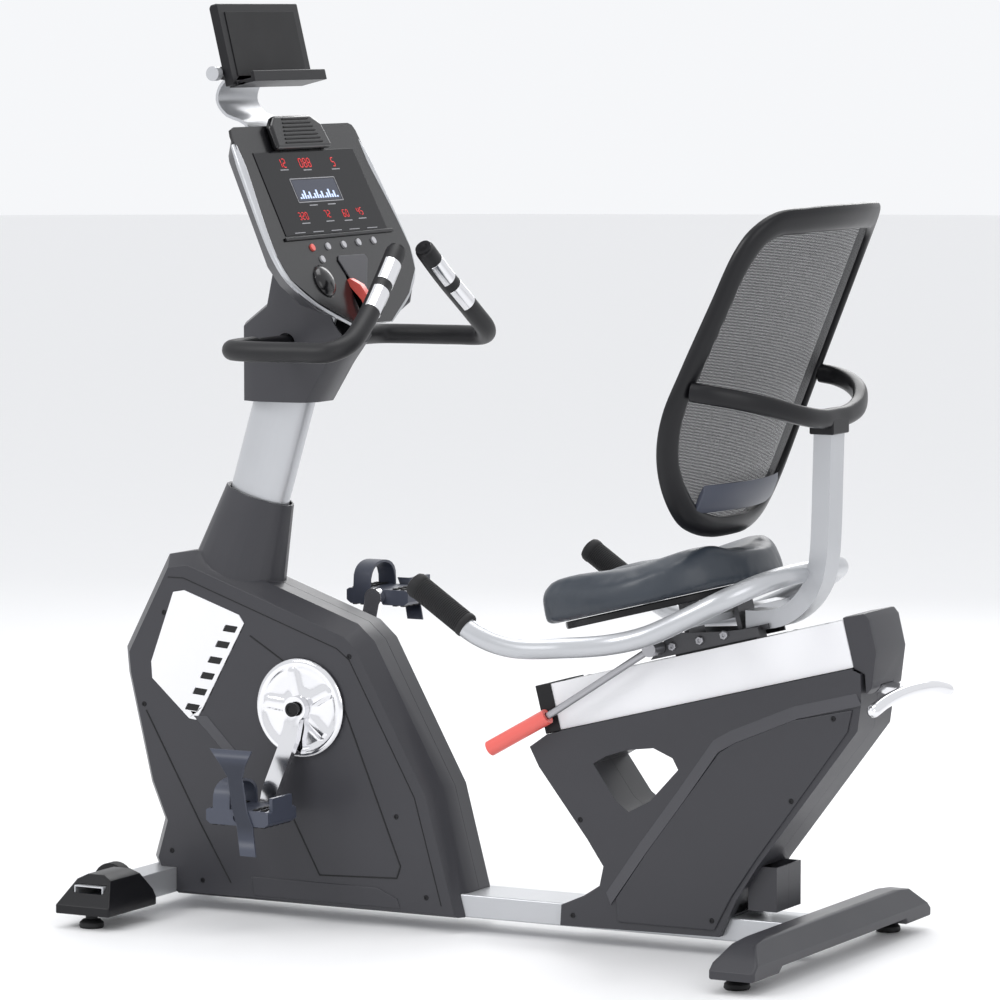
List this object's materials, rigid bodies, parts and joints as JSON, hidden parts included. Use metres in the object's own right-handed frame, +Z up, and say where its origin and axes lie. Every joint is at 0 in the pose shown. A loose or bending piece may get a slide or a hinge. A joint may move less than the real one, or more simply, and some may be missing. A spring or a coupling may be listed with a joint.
{
  "type": "recumbent exercise bike",
  "caption": "Recumbent exercise bike: shrouded crank and flywheel, sliding cushioned seat with mesh back, console on a leaning neck, handlebars and floor frame.",
  "frame": {"origin": "centre of the bike's footprint box, on the floor", "axes": "+Z up, +Y to the rider's right, and the rider faces -X"},
  "size_m": [1.4486, 0.69, 1.5161],
  "materials": {
    "charcoal": "fine-grained moulded plastic",
    "black": "black moulded plastic",
    "white": "glossy white moulded plastic",
    "silver": "silver powder coat",
    "steel": "dark zinc-plated steel",
    "iron": "machined casting",
    "chrome": "polished",
    "rubber": "black rubber",
    "coral": "glossy coral-red plastic",
    "key": "pale grey plastic",
    "cushion": "dark blue-grey synthetic leather over foam",
    "mesh": "open woven mesh, stretched",
    "slate": "blue-grey moulded plastic",
    "bar_black": "black paint, foam sleeves"
  },
  "bodies": {
    "frame": {"base_beam": "silver", "front_stabiliser": "silver", "rear_stabiliser": "charcoal", "left_front_cap": "black", "left_front_foot": "rubber", "left_rear_foot": "rubber", "right_front_cap": "black", "right_front_foot": "rubber", "right_rear_foot": "rubber", "drive_frame": "steel", "neck_tube": "silver", "drive_belt": "rubber", "left_shroud": "charcoal", "left_vent_panel": "white", "right_shroud": "charcoal", "right_vent_panel": "white", "seat_rail": "steel", "rail_cover": "white", "rail_front_cap": "black", "rear_post": "steel", "rail_rear_cap": "charcoal", "lift_handle": "chrome", "left_rear_cover": "charcoal", "right_rear_cover": "charcoal", "console_housing": "black", "console_face": "black", "neck_cover": "charcoal", "handlebar": "bar_black", "tray_bracket": "steel"},
    "crank": {"crank_axle": "steel", "drive_pulley": "black", "left_cover_disc": "chrome", "right_cover_disc": "chrome", "left_crank_arm": "chrome", "right_crank_arm": "chrome"},
    "left_pedal": {"left_pedal": "slate"},
    "right_pedal": {"right_pedal": "slate"},
    "flywheel": {"flywheel": "iron"},
    "seat": {"carriage_frame": "steel", "seat_pan": "black", "seat_cushion": "cushion", "back_post": "silver", "seat_handle": "silver", "left_seat_grip": "rubber", "right_seat_grip": "rubber", "backrest_frame": "black", "backrest_mesh": "mesh", "lumbar_yoke": "black"},
    "seat_lever": {"lever_rod": "silver", "lever_grip": "coral"},
    "tray": {"tablet_tray": "black"},
    "stop_lever": {"stop_lever": "coral"},
    "left_wheel": {"left_transport_wheel": "rubber"},
    "right_wheel": {"right_transport_wheel": "rubber"},
    "key_1": {"console_key_1": "coral"},
    "key_2": {"console_key_2": "key"},
    "key_3": {"console_key_3": "key"},
    "key_4": {"console_key_4": "key"},
    "key_5": {"console_key_5": "key"},
    "key_6": {"console_key_6": "key"}
  },
  "joints": [
    {"name": "crank_spin", "type": "hinge", "parent": "frame", "child": "crank", "pos_m": [-0.35225, 0, 0.356], "axis": [0, 1, 0], "continuous": true},
    {"name": "left_pedal_spin", "type": "hinge", "parent": "crank", "child": "left_pedal", "pos_m": [-0.38686, -0.174, 0.18956], "axis": [0, 1, 0], "continuous": true},
    {"name": "right_pedal_spin", "type": "hinge", "parent": "crank", "child": "right_pedal", "pos_m": [-0.31764, 0.174, 0.52244], "axis": [0, 1, 0], "continuous": true},
    {"name": "flywheel_spin", "type": "hinge", "parent": "frame", "child": "flywheel", "pos_m": [-0.24925, 0, 0.222], "axis": [0, 1, 0], "continuous": true},
    {"name": "seat_slide", "type": "slide", "parent": "frame", "child": "seat", "axis": [0.9691, 0, 0.2466], "range_m": [-0.13, 0.09]},
    {"name": "seat_lever_lift", "type": "hinge", "parent": "seat", "child": "seat_lever", "pos_m": [0.29773, -0.082, 0.49124], "axis": [0, 1, 0], "range_deg": [0, 14], "stiffness_Nm_per_rad": 4, "springref_deg": -28.65},
    {"name": "tray_tilt", "type": "hinge", "parent": "frame", "child": "tray", "pos_m": [-0.46925, 0, 1.402], "axis": [0, 1, 0], "range_deg": [-15, 15]},
    {"name": "stop_lever_pull", "type": "hinge", "parent": "frame", "child": "stop_lever", "pos_m": [-0.29149, -0.022, 1.05475], "axis": [0, 1, 0], "range_deg": [0, 8], "stiffness_Nm_per_rad": 0.3, "springref_deg": -17.19},
    {"name": "left_wheel_spin", "type": "hinge", "parent": "frame", "child": "left_wheel", "pos_m": [-0.69125, -0.114, 0.045], "axis": [0, 1, 0], "continuous": true},
    {"name": "right_wheel_spin", "type": "hinge", "parent": "frame", "child": "right_wheel", "pos_m": [-0.69125, 0.114, 0.045], "axis": [0, 1, 0], "continuous": true},
    {"name": "key_1_press", "type": "slide", "parent": "frame", "child": "key_1", "axis": [-0.8994, 0, -0.4372], "range_m": [0, 0.0012], "stiffness_N_per_m": 400, "springref_m": -0.001},
    {"name": "key_2_press", "type": "slide", "parent": "frame", "child": "key_2", "axis": [-0.8994, 0, -0.4372], "range_m": [0, 0.0012], "stiffness_N_per_m": 400, "springref_m": -0.001},
    {"name": "key_3_press", "type": "slide", "parent": "frame", "child": "key_3", "axis": [-0.8994, 0, -0.4372], "range_m": [0, 0.0012], "stiffness_N_per_m": 400, "springref_m": -0.001},
    {"name": "key_4_press", "type": "slide", "parent": "frame", "child": "key_4", "axis": [-0.8994, 0, -0.4372], "range_m": [0, 0.0012], "stiffness_N_per_m": 400, "springref_m": -0.001},
    {"name": "key_5_press", "type": "slide", "parent": "frame", "child": "key_5", "axis": [-0.8994, 0, -0.4372], "range_m": [0, 0.0012], "stiffness_N_per_m": 400, "springref_m": -0.001},
    {"name": "key_6_press", "type": "slide", "parent": "frame", "child": "key_6", "axis": [-0.8994, 0, -0.4372], "range_m": [0, 0.0012], "stiffness_N_per_m": 400, "springref_m": -0.001}
  ],
  "couplings": [
    {"joint": "flywheel_spin", "follows": "crank_spin", "ratio": 4.5385}
  ]
}
